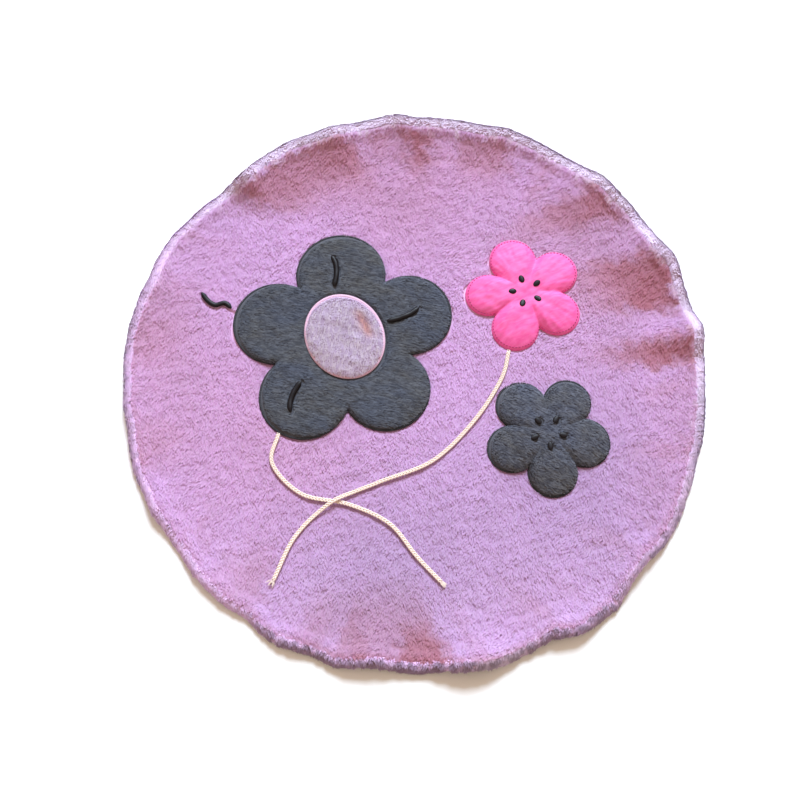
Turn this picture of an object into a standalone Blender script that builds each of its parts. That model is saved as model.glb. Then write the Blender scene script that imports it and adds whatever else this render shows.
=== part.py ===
"""Round plush rug for a child's room, lying on the floor.

A plush ground with a rolled hem carries three padded flowers, a pale patch in the middle of
the largest one, and two thin cords sewn on as stems. The rug is flat in the middle, and its
hem puckers into low folds around the rim. Metres, +Z up, origin on the floor under the middle
of the rug, +Y towards its far side.
"""

from collections import namedtuple

import bmesh
import bpy
import numpy as np

MM = 0.001

RUG_RADIUS = 400 * MM
SHEET_HEIGHT = 8 * MM  # the knitted back and the pile on it
FLAT_RADIUS = 285 * MM  # no fold reaches further in than this
ROLL_WIDTH = 22 * MM  # the turned hem, rounded out by its pile
ROLL_HEIGHT = 12.5 * MM
ROLL_TURN_DEG = 115  # from straight out, up to where the roll meets the upper side
HEM_WIDTH = 33 * MM  # the upper side rises to the roll within this distance of the rim
SEAT_GAP = 0.3 * MM  # between a patch or cord and what it is sewn to
CORD_WIDTH = 6 * MM  # a flat braid
CORD_HEIGHT = 3.4 * MM
CORD_STEP = 2.2 * CORD_WIDTH  # from one point of a cord to the next
HUMP_LENGTH = 30 * MM  # each side of the place where one cord crosses the other
HUMP_HEIGHT = 1.15 * CORD_HEIGHT + SEAT_GAP

GROUND_STEPS = 144
BAND_RINGS = 8  # on the ground's upper side, from the flat middle to the hem
BACK_RINGS = 6  # the same on its underside
ROLL_RINGS = 8
PATCH_RINGS = 8

# The rim's outline: how far it stands out from the true circle at each angle.
Lobe = namedtuple("Lobe", "angle_deg bulge_mm")
RIM_LOBES = (
    Lobe(0, -3),
    Lobe(8, 1),
    Lobe(17, -2),
    Lobe(24, 1),
    Lobe(31, -4.5),
    Lobe(39, -0.5),
    Lobe(52, -1.5),
    Lobe(67, 0),
    Lobe(77, -3.5),
    Lobe(84, -2),
    Lobe(90, -8),
    Lobe(96, 0),
    Lobe(108, -5.5),
    Lobe(118, -4),
    Lobe(129, -12),
    Lobe(135, -6),
    Lobe(150, 4),
    Lobe(161, -1),
    Lobe(169, 2),
    Lobe(190, -4),
    Lobe(200, -1),
    Lobe(217, -5),
    Lobe(228, 0.5),
    Lobe(236, -2.5),
    Lobe(243, 5),
    Lobe(250, 1),
    Lobe(256, 4),
    Lobe(263, -3),
    Lobe(275, 0.5),
    Lobe(285, 7),
    Lobe(295, -1.5),
    Lobe(303, 10.5),
    Lobe(309, 10.5),
    Lobe(316, -2),
    Lobe(328, 3),
    Lobe(340, -2.5),
)

# The folds along the rim: how high the hem stands, and how far in from it the slope starts.
Fold = namedtuple("Fold", "angle_deg lift_mm reach_mm")
EDGE_FOLDS = (
    Fold(0, 2, 80),
    Fold(3, 3, 100),
    Fold(9, 21, 114),
    Fold(14, 5, 100),
    Fold(28, 27, 100),
    Fold(36, 13, 100),
    Fold(47, 25, 114),
    Fold(57, 9, 100),
    Fold(70, 18, 75),
    Fold(84, 13, 70),
    Fold(91, 26, 90),
    Fold(97, 16, 80),
    Fold(101, 13, 80),
    Fold(108, 25, 84),
    Fold(116, 21, 84),
    Fold(128, 28, 92),
    Fold(135, 3, 70),
    Fold(150, 1, 60),
    Fold(160, 9, 85),
    Fold(176, 1, 60),
    Fold(186, 6, 85),
    Fold(201, 1, 60),
    Fold(208, 7, 75),
    Fold(216, 0, 60),
    Fold(226, 4, 60),
    Fold(238, 0, 50),
    Fold(246, 3, 50),
    Fold(252, 1, 60),
    Fold(261, 9, 85),
    Fold(270, 1, 80),
    Fold(280, 15, 95),
    Fold(290, 2, 60),
    Fold(300, 10, 65),
    Fold(309, 1, 50),
    Fold(317, 9, 60),
    Fold(327, 1, 50),
    Fold(345, 0, 50),
)

# A flower's petals, as rounds: the direction of each, its tip from the middle, and its width.
Petal = namedtuple("Petal", "angle_deg tip_mm width_mm")
LARGE_PETALS = (
    Petal(22, 156, 116),
    Petal(93, 158, 122),
    Petal(166, 155, 118),
    Petal(238, 159, 120),
    Petal(309, 153, 118),
)
PINK_PETALS = (
    Petal(38, 85, 64),
    Petal(108, 86, 66),
    Petal(182, 84, 62),
    Petal(253, 87, 66),
    Petal(325, 84, 64),
)
GREY_PETALS = (
    Petal(58, 84, 62),
    Petal(131, 86, 66),
    Petal(203, 85, 64),
    Petal(275, 87, 64),
    Petal(346, 84, 66),
)

# A patch of cloth sewn down along its edge: fullness is low where it swells up at once from
# its seam and then goes on rising, and high where it is flat nearly to its seam.
Patch = namedtuple("Patch", "name middle_mm edge_mm crown_mm level_mm fullness steps")
LARGE_FLOWER = Patch("grey_flower_large", (-98, 52), 2.5, 8, 68, 7, 90)
SMALL_GREY_FLOWER = Patch("grey_flower_small", (178, -85), 2.5, 13, 16, 2.6, 70)
PINK_FLOWER = Patch("pink_flower", (155, 120), 2, 12, 16, 2.6, 70)
PALE_CENTRE = Patch("pale_centre", (-96, 54), 2, 6.5, 20, 3.5, 48)
PALE_HALF_SIZE_MM = (52, 62)
PALE_TURN_DEG = 24
CORE_SHARE = 0.5  # a flower's round core, as a share of its shortest petal
NOTCH_SHARPNESS = 14  # the higher, the sharper the notch between two petals
EDGE_STEEPNESS = 0.75  # the lower, the more steeply a patch rises from its seam

# The cords' routes over the rug. The first point is just outside the flower that hides the end.
LONG_CORD_MM = (
    (129.5, 35.5),
    (118, -6),
    (80, -66),
    (24, -122),
    (-48, -152),
    (-110, -180),
    (-156, -224),
    (-184, -284),
)
SHORT_CORD_MM = (
    (-182.8, -83.7),
    (-190, -126),
    (-150, -168),
    (-88, -182),
    (-34, -208),
    (2, -252),
    (34, -286),
)

SPAN_STEPS = 24  # between two points of a route, while its smooth curve is worked out

COLOURS = {
    "pink_plush": (0.70, 0.40, 0.70),
    "grey_plush": (0.09, 0.10, 0.13),
    "pale_plush": (0.72, 0.55, 0.72),
    "pink_fleece": (0.95, 0.15, 0.42),
    "cream_cord": (0.85, 0.76, 0.70),
}
CLOTH_ROUGHNESS = 0.9
SHARP_EDGE_DEG = 50


def clear_scene():
    for obj in list(bpy.data.objects):
        bpy.data.objects.remove(obj, do_unlink=True)


def new_collection(name):
    collection = bpy.data.collections.new(name)
    bpy.context.scene.collection.children.link(collection)
    return collection


def cloth_material(name):
    """A plain, matt cloth of the named colour."""
    material = bpy.data.materials.new(name)
    material.use_nodes = True
    shader = material.node_tree.nodes["Principled BSDF"]
    shader.inputs["Base Color"].default_value = (*COLOURS[name], 1)
    shader.inputs["Roughness"].default_value = CLOTH_ROUGHNESS
    shader.inputs["Metallic"].default_value = 0
    return material


def full_circle(steps):
    """Angles in degrees, evenly spaced around a full turn."""
    return np.arange(steps) * 360 / steps


def around(table, angles):
    """The table's other columns at each angle, eased from each row to the next and back to the first."""
    rows = np.array(table, float)
    closing = rows[0] + np.eye(rows.shape[1])[0] * 360
    rows = np.vstack([rows, closing])
    row = np.searchsorted(rows[:, 0], angles, side="right") - 1
    start, end = rows[row], rows[row + 1]
    share = (angles - start[:, 0]) / (end[:, 0] - start[:, 0])
    eased = share**2 * (3 - 2 * share)
    return (start + (end - start) * eased[:, None])[:, 1:].T


def ring(angles, radius, height, middle=(0, 0)):
    """Points around a middle, seen anticlockwise from above."""
    turn = np.radians(angles)
    x = middle[0] + radius * np.cos(turn)
    y = middle[1] + radius * np.sin(turn)
    return np.column_stack([x, y, np.broadcast_to(height, x.shape)])


def lofted_solid(name, rings, material, collection):
    """A solid through rings of points, from the edge of its flat underside, out and over, to its flat top."""
    bm = bmesh.new()
    loops = [[bm.verts.new(point) for point in points] for points in rings]
    for lower, upper in zip(loops, loops[1:]):
        for i, corner in enumerate(lower):
            after = (i + 1) % len(lower)
            bm.faces.new((corner, lower[after], upper[after], upper[i]))
    bm.faces.new(reversed(loops[0]))
    bm.faces.new(loops[-1])
    mesh = bpy.data.meshes.new(name)
    bm.to_mesh(mesh)
    bm.free()
    mesh.materials.append(material)
    mesh.shade_smooth()
    mesh.set_sharp_from_angle(angle=np.radians(SHARP_EDGE_DEG))
    solid = bpy.data.objects.new(name, mesh)
    collection.objects.link(solid)
    return solid


def plush_ground(material, collection):
    """The rug's own cloth: flat in the middle, lifted in folds along the rim, with a rolled hem."""
    angles = full_circle(GROUND_STEPS)
    rim = RUG_RADIUS + around(RIM_LOBES, angles)[0] * MM
    lift, reach = around(EDGE_FOLDS, angles) * MM

    def lifted(radius):
        share = np.clip((radius - rim + reach) / reach, 0, 1)
        return lift * share**2 * (2 - share)

    half_width, half_height = ROLL_WIDTH / 2, ROLL_HEIGHT / 2
    rings = []
    for share in np.linspace(0, 1, BACK_RINGS):
        radius = FLAT_RADIUS + (rim - half_width - FLAT_RADIUS) * share
        rings.append(ring(angles, radius, lifted(radius)))
    # The underside ends right below the roll's middle, so the roll goes on from straight down.
    for turn in np.radians(np.linspace(-90, ROLL_TURN_DEG, ROLL_RINGS + 1))[1:]:
        radius = rim - half_width + half_width * np.cos(turn)
        rings.append(ring(angles, radius, lifted(radius) + half_height * (1 + np.sin(turn))))
    for share in np.linspace(1, 0, BAND_RINGS):
        radius = FLAT_RADIUS + (rim - HEM_WIDTH - FLAT_RADIUS) * share
        rings.append(ring(angles, radius, lifted(radius) + SHEET_HEIGHT))
    return lofted_solid("plush_ground", rings, material, collection)


def petal_outline(petals, angles):
    """The distance from the flower's middle to its edge at each angle, with rounded notches."""
    core = CORE_SHARE * min(petal.tip_mm for petal in petals)
    total = np.full(angles.shape, core**NOTCH_SHARPNESS)
    for petal in petals:
        round_radius = petal.width_mm / 2
        away = petal.tip_mm - round_radius
        turn = np.radians(angles - petal.angle_deg)
        inside = round_radius**2 - (away * np.sin(turn)) ** 2
        hit = (inside > 0) & (np.cos(turn) > 0)
        far_side = away * np.cos(turn) + np.sqrt(np.maximum(inside, 0))
        total += np.where(hit, far_side, 0) ** NOTCH_SHARPNESS
    return total ** (1 / NOTCH_SHARPNESS) * MM


def oval_outline(half_size_mm, turn_deg, angles):
    """The distance from an oval's middle to its edge at each angle."""
    turn = np.radians(angles - turn_deg)
    return MM / np.hypot(np.cos(turn) / half_size_mm[0], np.sin(turn) / half_size_mm[1])


def sewn_patch(patch, edge, seat, material, collection):
    """A patch on a level seat: thin at its sewn edge, swelling to a level top in the middle."""
    angles = full_circle(patch.steps)
    middle = np.array(patch.middle_mm) * MM
    level = patch.level_mm * MM
    swell = (patch.crown_mm - patch.edge_mm) * MM
    rings = [ring(angles, edge, seat, middle)]
    for turn in np.linspace(0, np.pi / 2, PATCH_RINGS):
        share = np.cos(turn)
        height = seat + patch.edge_mm * MM + swell * (1 - share**patch.fullness) ** EDGE_STEEPNESS
        rings.append(ring(angles, level + (edge - level) * share, height, middle))
    return lofted_solid(patch.name, rings, material, collection)


def smooth_route(points_mm, step):
    """Points a step apart along a smooth curve through the route's own points."""
    points = np.array(points_mm, float) * MM
    ends = 2 * points[0] - points[1], 2 * points[-1] - points[-2]
    padded = np.vstack([ends[0], points, ends[1]])
    t = np.linspace(0, 1, SPAN_STEPS, endpoint=False)[:, None]
    fine = []
    for a, b, c, d in zip(padded, padded[1:], padded[2:], padded[3:]):
        bend = (2 * a - 5 * b + 4 * c - d) * t**2 + (3 * b - a - 3 * c + d) * t**3
        fine.append(0.5 * (2 * b + (c - a) * t + bend))
    fine = np.vstack([*fine, points[-1:]])
    lengths = np.r_[0, np.cumsum(np.linalg.norm(np.diff(fine, axis=0), axis=1))]
    count = int(round(lengths[-1] / step)) + 1
    along = np.linspace(0, lengths[-1], count)
    return np.column_stack([np.interp(along, lengths, column) for column in fine.T])


def crossing_point(route, other):
    """The point midway between the nearest points of two routes."""
    apart = np.linalg.norm(route[:, None] - other[None], axis=2)
    i, j = np.unravel_index(apart.argmin(), apart.shape)
    return (route[i] + other[j]) / 2


def stem_cord(name, route, rise, material, collection):
    """A cord lying flat on the pile, raised by the given height at each point of its route."""
    curve = bpy.data.curves.new(name, "CURVE")
    curve.dimensions = "3D"
    curve.bevel_depth = CORD_WIDTH / 2
    curve.bevel_resolution = 2
    curve.use_fill_caps = True
    spline = curve.splines.new("POLY")
    spline.points.add(len(route) - 1)
    flatness = CORD_HEIGHT / CORD_WIDTH
    lying = SHEET_HEIGHT + SEAT_GAP + CORD_HEIGHT / 2
    for point, (x, y), up in zip(spline.points, route, rise):
        point.co = (x, y, (lying + up) / flatness, 1)
    curve.materials.append(material)
    cord = bpy.data.objects.new(name, curve)
    cord.scale.z = flatness
    collection.objects.link(cord)
    return cord


def stem_cords(material, collection):
    """Two cords that cross once: the short one lies on the pile, and the long one rides over it."""
    over = smooth_route(LONG_CORD_MM, CORD_STEP)
    under = smooth_route(SHORT_CORD_MM, CORD_STEP)
    crossing = crossing_point(smooth_route(LONG_CORD_MM, MM), smooth_route(SHORT_CORD_MM, MM))
    away = np.linalg.norm(over - crossing, axis=1)
    hump = (1 + np.cos(np.pi * np.minimum(away / HUMP_LENGTH, 1))) / 2
    stem_cord("cord_long", over, hump * HUMP_HEIGHT, material, collection)
    stem_cord("cord_short", under, np.zeros(len(under)), material, collection)


def build():
    clear_scene()
    rug = new_collection("plush_rug")
    material = {name: cloth_material(name) for name in COLOURS}
    plush_ground(material["pink_plush"], rug)

    ground_top = SHEET_HEIGHT + SEAT_GAP
    flower_top = ground_top + LARGE_FLOWER.crown_mm * MM + SEAT_GAP
    flowers = (
        (LARGE_FLOWER, LARGE_PETALS, "grey_plush"),
        (SMALL_GREY_FLOWER, GREY_PETALS, "grey_plush"),
        (PINK_FLOWER, PINK_PETALS, "pink_fleece"),
    )
    for patch, petals, cloth in flowers:
        edge = petal_outline(petals, full_circle(patch.steps))
        sewn_patch(patch, edge, ground_top, material[cloth], rug)
    edge = oval_outline(PALE_HALF_SIZE_MM, PALE_TURN_DEG, full_circle(PALE_CENTRE.steps))
    sewn_patch(PALE_CENTRE, edge, flower_top, material["pale_plush"], rug)
    stem_cords(material["cream_cord"], rug)


build()
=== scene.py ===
"""Round plush rug with padded flowers: its cloth, pile, stitching and cords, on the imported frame.

Metres, +Z up, origin on the floor under the middle of the rug, +Y towards its far side.
"""

import math
from collections import namedtuple

import bpy
import numpy as np
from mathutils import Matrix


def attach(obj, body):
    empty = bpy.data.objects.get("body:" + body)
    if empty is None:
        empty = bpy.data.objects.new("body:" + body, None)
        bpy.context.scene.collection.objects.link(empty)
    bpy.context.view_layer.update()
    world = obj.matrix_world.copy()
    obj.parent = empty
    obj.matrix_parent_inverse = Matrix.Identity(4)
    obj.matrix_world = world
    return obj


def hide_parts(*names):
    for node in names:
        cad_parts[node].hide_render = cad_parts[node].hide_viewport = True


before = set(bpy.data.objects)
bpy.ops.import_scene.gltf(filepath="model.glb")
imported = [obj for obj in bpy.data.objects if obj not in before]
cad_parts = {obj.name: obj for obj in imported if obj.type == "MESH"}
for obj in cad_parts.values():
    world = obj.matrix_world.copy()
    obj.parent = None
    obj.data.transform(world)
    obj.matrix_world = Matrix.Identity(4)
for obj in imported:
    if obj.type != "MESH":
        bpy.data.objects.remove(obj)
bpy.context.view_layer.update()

MM = 0.001

# The camera of the photograph, and its light.
CAMERA_PLACE = (-0.0201, -0.5871, 1.6074)
CAMERA_TILT_DEG = 19
CAMERA_LENS = 56.2
CAMERA_SENSOR = 36
KEY_AZIMUTH_DEG = 82  # where the key light comes from, seen from above
KEY_HEIGHT_DEG = 37
KEY_SPREAD_DEG = 26
KEY_STRENGTH = 5.9
KEY_COLOUR = (0.70, 0.85, 1.0)
FILL_COLOUR = (1.0, 0.78, 0.60)
FILL_STRENGTH = 0.66
FLOOR_SIZE = 60
FLOOR_DROP = 0.4 * MM
FLOOR_COLOUR = (0.93, 0.93, 0.93)

# The ground's form, as in its solid.
RUG_RADIUS = 400 * MM
ROLL_HALF_WIDTH = 11 * MM
HEM_WIDTH = 33 * MM
ROLL_TURN_DEG = 115
GROUND_TOP = 8.3 * MM  # where the flowers and cords lie

# The cloth under the pile.
ROOT_HEIGHT = 4.6 * MM  # the upper side of the cloth, where the pile is rooted
BACK_HEIGHT = 1.7 * MM  # the underside, within the turned hem
HEM_BACK_HEIGHT = 0.7 * MM  # the underside of the turned hem
CORE_HALF_WIDTH = 8 * MM  # the rolled hem without its pile
CORE_HALF_HEIGHT = 3.9 * MM
CORE_MIDDLE = 4.3 * MM
HEM_TURN_WIDTH = 26 * MM  # how far in from the rim the turned edge is sewn down underneath
HEM_STEP_WIDTH = 3 * MM
HEM_ARC_MM = 24  # the way round the roll that its pile covers
HEM_FROM_DEG = -60
GROUND_STEPS = 480
TOP_RINGS = 56
ROLL_RINGS = 12
BACK_RINGS = 34

# How far the rim bulges out at angles round the rug: degrees, millimetres.
RIM_LOBES = (
    (0, -3), (8, 1), (17, -2), (24, 1), (31, -4.5), (39, -0.5), (52, -1.5), (67, 0), (77, -3.5),
    (84, -2), (90, -8), (96, 0), (108, -5.5), (118, -4), (129, -12), (135, -6), (150, 4),
    (161, -1), (169, 2), (190, -4), (200, -1), (217, -5), (228, 0.5), (236, -2.5), (243, 5),
    (250, 1), (256, 4), (263, -3), (275, 0.5), (285, 7), (295, -1.5), (303, 10.5), (309, 10.5),
    (316, -2), (328, 3), (340, -2.5),
)

# How high the folds lift the rim off the floor, and how far in they reach: degrees, millimetres.
EDGE_FOLDS = (
    (0, 2, 80), (3, 3, 100), (9, 21, 114), (14, 5, 100), (28, 27, 100), (36, 13, 100),
    (47, 25, 114), (57, 9, 100), (70, 18, 75), (84, 13, 70), (91, 26, 90), (97, 16, 80),
    (101, 13, 80), (108, 25, 84), (116, 21, 84), (128, 28, 92), (135, 3, 70), (150, 1, 60),
    (160, 9, 85), (176, 1, 60), (186, 6, 85), (201, 1, 60), (208, 7, 75), (216, 0, 60),
    (226, 4, 60), (238, 0, 50), (246, 3, 50), (252, 1, 60), (261, 9, 85), (270, 1, 80),
    (280, 15, 95), (290, 2, 60), (300, 10, 65), (309, 1, 50), (317, 9, 60), (327, 1, 50),
    (345, 0, 50),
)

# How much painted highlight the hem's pile has, and how much painted shade its fuzz has, which also grows
# longer with it: degrees, shares.
HEM_PAINTED_HIGHLIGHT = (
    (0, 0.7), (20, 0.85), (45, 0.95), (70, 1.0), (105, 1.0), (130, 0.9), (146, 0.4),
    (165, 0.15), (185, 0.0), (276, 0.0), (286, 0.5), (296, 0.0), (325, 0.05), (345, 0.3),
)
HEM_FUZZ_AND_SHADE = (
    (0, 0.1), (150, 0.0), (174, 0.28), (186, 0.36), (198, 0.3), (222, 0.3), (234, 0.3),
    (244, 0.95), (262, 1.2), (274, 1.2), (286, 0.8), (296, 0.85), (306, 1.05), (316, 0.45),
    (330, 0.63), (342, 0.35), (354, 0.35),
)

# Each petal's angle, how far out its tip is and its width: degrees, millimetres.
Petal = namedtuple("Petal", "angle_deg tip_mm width_mm")
LARGE_PETALS = (
    (22, 156, 116), (93, 158, 122), (166, 155, 118), (238, 159, 120), (309, 153, 118),
)
PINK_PETALS = (
    (38, 85, 64), (108, 86, 66), (182, 84, 62), (253, 87, 66), (325, 84, 64),
)
GREY_PETALS = (
    (58, 84, 62), (131, 86, 66), (203, 85, 64), (275, 87, 64), (346, 84, 66),
)
# Painted shade, warm and darker, in the hollows of the folds: each a band that runs in from
# the rim, by the angle and width of its ends in degrees, its length in millimetres and how
# dark it is painted.
ShadeBand = namedtuple("ShadeBand", "rim_deg rim_width_deg inner_deg inner_width_deg reach_mm depth")
PAINTED_SHADE_BANDS = (
    (5.5, 6.5, 8, 6, 190, 0.95), (20.5, 13.5, 32, 16, 180, 0.92), (41.5, 9.5, 60, 9, 190, 0.66),
    (58, 1.6, 58, 1.6, 130, 0.3), (75, 12, 72, 12, 120, 0.55), (90, 5, 86, 6, 115, 0.95),
    (98, 5, 98, 7, 80, 0.4), (119, 29.5, 108, 22, 140, 0.66), (166, 19, 166, 26, 104, 0.2),
    (194, 14, 200, 6, 124, 0.2), (218, 1.8, 212, 2, 130, 0.2), (229, 8, 231, 12, 140, 0.16),
    (249, 4, 251, 10, 124, 0.3), (266, 23, 262, 14, 150, 0.4), (272.5, 11, 268, 5, 105, 0.9),
    (326.5, 1.6, 326.5, 1.6, 100, 0.2), (343, 31, 345, 30, 120, 0.12),
)
SHADE_BAND_EDGE_DEG = 5.5
SHADE_BAND_FADE = 0.3  # the share of its length from which a band of painted shade fades
HEM_LIFTING = 5.0  # how far the fuzz of the hem stands open, up and outwards
HEM_OPENING = 1.1
GROUND_LIFTING = 0.7  # how far the ground's pile evens out the shade of its slopes
HEM_SHADE_MM = 13  # painted shade starts this far in from the rim's painted highlight
NEAR_HEM_SHADE = 0.35  # how much painted shade the pile next to the fuzzy part of the hem has
# how dark the painted shade streaks along the gathered folds are
STREAK_SHADE = 0.09
NEAR_PAINTED_SHEEN = 0.08  # painted sheen: how much of the rim's painted highlight the pile of the near side has
# Painted shade over the pile as a whole, a little warmer in some places and plainly darker in
# others: a soft round patch each, by its place and reach in millimetres and its strength.
Tone = namedtuple("Tone", "x_mm y_mm reach_mm share")
WARM_SHADE_PLACES = (
    (-370, 20, 120, 0.2), (-170, -90, 110, 0.2), (240, 180, 140, 0.22), (-20, 285, 100, 0.24),
)
DIM_SHADE_PLACES = (
    (210, -160, 145, 0.5), (-40, -270, 135, 0.55), (330, 190, 120, 0.1),
)

CORE_SHARE = 0.5
NOTCH_SHARPNESS = 14
PALE_HALF_SIZE_MM = (52, 62)
PALE_TURN_DEG = 24
PALE_CREASE_PLACE = (-70 * MM, 72 * MM)
PALE_CREASE_DEG = -62

LONG_CORD_MM = (
    (129.5, 35.5), (118, -6), (80, -66), (24, -122), (-48, -152), (-110, -180), (-156, -224),
    (-184, -284),
)
SHORT_CORD_MM = (
    (-182.8, -83.7), (-190, -126), (-150, -168), (-88, -182), (-34, -208), (2, -252),
    (34, -286),
)
TENDRIL_MM = ((-254, 98), (-264, 106), (-277, 103), (-288, 110), (-297, 122))
PETAL_VEINS_MM = (
    ((-38, 76), (-22, 80), (-6, 87), (6, 97)),
    ((-112, 128), (-109, 145), (-110, 162), (-116, 176)),
    ((-154, -12), (-163, -26), (-168, -41), (-168, -56)),
)
SEED_WIDTH_MM = 8
SEED_LENGTH_MM = 11
PINK_SEED_RING_MM = 19
GREY_SEED_RING_MM = 20
CORD_HEIGHT = 3.4 * MM
CORD_MIDDLE = GROUND_TOP + CORD_HEIGHT / 2
HUMP_LENGTH = 30 * MM
HUMP_HEIGHT = 1.15 * CORD_HEIGHT + 0.3 * MM

# The pile: how far apart the tufts stand, how long and wide they are, and how far they lean.
Pile = namedtuple("Pile", "spacing_mm length_mm width_mm lean_deg unruly_deg nap_deg seed")
GROUND_PILE = Pile(1.42, 7.2, 2.4, 66, 4, -94, 11)
HEM_PILE = Pile(1.25, 4.4, 2.6, 74, 3, -94, 12)
GREY_PILE = Pile(1.4, 5.0, 2.2, 64, 5, -12, 13)
SMALL_GREY_PILE = Pile(1.4, 5.0, 2.2, 60, 8, -28, 15)
PALE_PILE = Pile(1.35, 4.4, 2.2, 58, 7, -96, 14)
SOFT_NORMAL = 0.85  # how much of a tuft's shading follows the cloth that it stands on
TUFT_ROLL = 0.22  # how far a tuft turns about its own length, in radians
TUFT_BEND = 0.3  # how much more steeply the lower half of a tuft stands
TUFT_ROUND = 0.12
NAP_TURN_DEG = 24  # how far the nap swings round towards the rug's far right side
TUFT_GLOW = 0.45  # how much of the light goes through a tuft
LOWEST_TUFT = 0.2 * MM
GROUND_SPREAD = 0.42  # half the square that the ground's tufts are taken from
PATCH_SPREAD = 0.17
TENDRIL_GAP = 3.4 * MM  # how far the tufts keep from the stitches
VEIN_GAP = 3.5 * MM
SEED_GAP = 6.4 * MM
UNDER_GRAIN = 900
UNDER_BUMP = 0.4 * MM
PATCH_DEPTH_MM = 2  # how far a patch's underside lies below its seam
UP = np.array([0.0, 0.0, 1.0])


# Small tools


def around(table, angles):
    """The table's other columns at each angle in degrees, eased from row to row and round to the first."""
    rows = np.array(table, float)
    closing = rows[0] + np.eye(rows.shape[1])[0] * 360
    rows = np.vstack([rows, closing])
    row = np.searchsorted(rows[:, 0], angles, side="right") - 1
    start, end = rows[row], rows[row + 1]
    share = (angles - start[..., 0]) / (end[..., 0] - start[..., 0])
    rise = (share**2 * (3 - 2 * share))[..., None]
    return np.moveaxis((start + (end - start) * rise)[..., 1:], -1, 0)


def eased(values):
    """0 up to 0, 1 from 1, and a smooth rise between."""
    share = np.clip(values, 0, 1)
    return share**2 * (3 - 2 * share)


def polar(x, y, middle=(0, 0)):
    """Angles in degrees, from 0 up to 360, and distances from a middle."""
    angles = np.degrees(np.arctan2(y - middle[1], x - middle[0])) % 360
    return angles % 360, np.hypot(x - middle[0], y - middle[1])


def round_about(radius, way, z, middle=(0, 0)):
    """Points by their distance and direction from a middle, at a height."""
    x, y = middle[0] + radius * np.cos(way), middle[1] + radius * np.sin(way)
    return np.stack([x, y, z], axis=-1)


def angle_apart(angles, other):
    """How many degrees apart two directions are."""
    return np.abs((angles - other + 180) % 360 - 180)


def evenly_along(x, y, lengths, along):
    """Places at distances along a line."""
    return np.column_stack([np.interp(along, lengths, x), np.interp(along, lengths, y)])


def unit(vectors):
    return vectors / np.maximum(np.linalg.norm(vectors, axis=-1, keepdims=True), 1e-12)


def ripples(x, y, wavelength, seed, waves=14):
    """Smooth unevenness with no direction of its own, mostly between -2 and 2."""
    rng = np.random.default_rng(seed)
    turns = rng.uniform(0, 2 * np.pi, waves)
    numbers = 2 * np.pi / wavelength * rng.uniform(0.6, 1.5, waves)
    phases = rng.uniform(0, 2 * np.pi, waves)
    total = np.zeros(np.shape(x))
    for turn, number, phase in zip(turns, numbers, phases):
        total += np.cos(number * (x * np.cos(turn) + y * np.sin(turn)) + phase)
    return total * np.sqrt(2 / waves)


def distance_to(path, x, y):
    """How far each place is from the nearest point of a path, seen from above."""
    nearest = np.full(np.shape(x), np.inf)
    for point in path:
        np.minimum(nearest, np.hypot(x - point[0], y - point[1]), out=nearest)
    return nearest


def smooth_route(points_mm, step):
    """Points a step apart along a smooth curve through the route's own points."""
    points = np.array(points_mm, float) * MM
    ends = 2 * points[0] - points[1], 2 * points[-1] - points[-2]
    padded = np.vstack([ends[0], points, ends[1]])
    t = np.linspace(0, 1, 24, endpoint=False)[:, None]
    fine = []
    for a, b, c, d in zip(padded, padded[1:], padded[2:], padded[3:]):
        bend = (2 * a - 5 * b + 4 * c - d) * t**2 + (3 * b - a - 3 * c + d) * t**3
        fine.append(0.5 * (2 * b + (c - a) * t + bend))
    fine = np.vstack([*fine, points[-1:]])
    lengths = lengths_along(fine)
    count = int(round(lengths[-1] / step)) + 1
    along = np.linspace(0, lengths[-1], count)
    return np.column_stack([np.interp(along, lengths, column) for column in fine.T])


# Meshes


def new_object(name, mesh, materials):
    for material in materials:
        mesh.materials.append(material)
    piece = bpy.data.objects.new(name, mesh)
    bpy.context.scene.collection.objects.link(piece)
    return piece


def sewn(name, mesh, material, slot=None):
    """A piece that rides on the rug."""
    piece = new_object(name, mesh, [material])
    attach(piece, "root")
    return piece


def mesh_of(name, points, faces):
    """A mesh from an array of points and one of equal-sided faces, or from lists of both."""
    mesh = bpy.data.meshes.new(name)
    if isinstance(faces, list):
        mesh.from_pydata([tuple(p) for p in points], [], faces)
        return mesh
    count, sides = faces.shape
    mesh.vertices.add(len(points))
    mesh.vertices.foreach_set("co", np.ascontiguousarray(points, np.float32).ravel())
    mesh.loops.add(count * sides)
    mesh.loops.foreach_set("vertex_index", np.ascontiguousarray(faces, np.int32).ravel())
    mesh.polygons.add(count)
    mesh.polygons.foreach_set("loop_start", np.arange(0, count * sides, sides, dtype=np.int32))
    mesh.update(calc_edges=True)
    return mesh


def lofted(name, rings, capped=True):
    """A mesh through rings of points, each ring closed, with a point in the middle of both ends."""
    rings = [np.asarray(points, float) for points in rings]
    size = len(rings[0])
    points = [point for ring in rings for point in ring]
    faces = []
    for row in range(len(rings) - 1):
        start, above = row * size, (row + 1) * size
        for i in range(size):
            after = (i + 1) % size
            faces.append((start + i, start + after, above + after, above + i))
    if capped:
        first, last = len(points), len(points) + 1
        points += [rings[0].mean(axis=0), rings[-1].mean(axis=0)]
        top = (len(rings) - 1) * size
        for i in range(size):
            after = (i + 1) % size
            faces.append((first, after, i))
            faces.append((last, top + i, top + after))
    mesh = mesh_of(name, points, faces)
    mesh.shade_smooth()
    return mesh


def tube_rings(path, across, half_widths, half_heights, sides):
    """Oval rings along a path, given the directions across it."""
    turns = np.arange(sides) * 2 * np.pi / sides
    rings = []
    for i, point in enumerate(path):
        offset = np.outer(np.cos(turns), across[i]) * half_widths[i]
        offset += np.outer(np.sin(turns), UP) * half_heights[i]
        rings.append(point + offset)
    return rings


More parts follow.
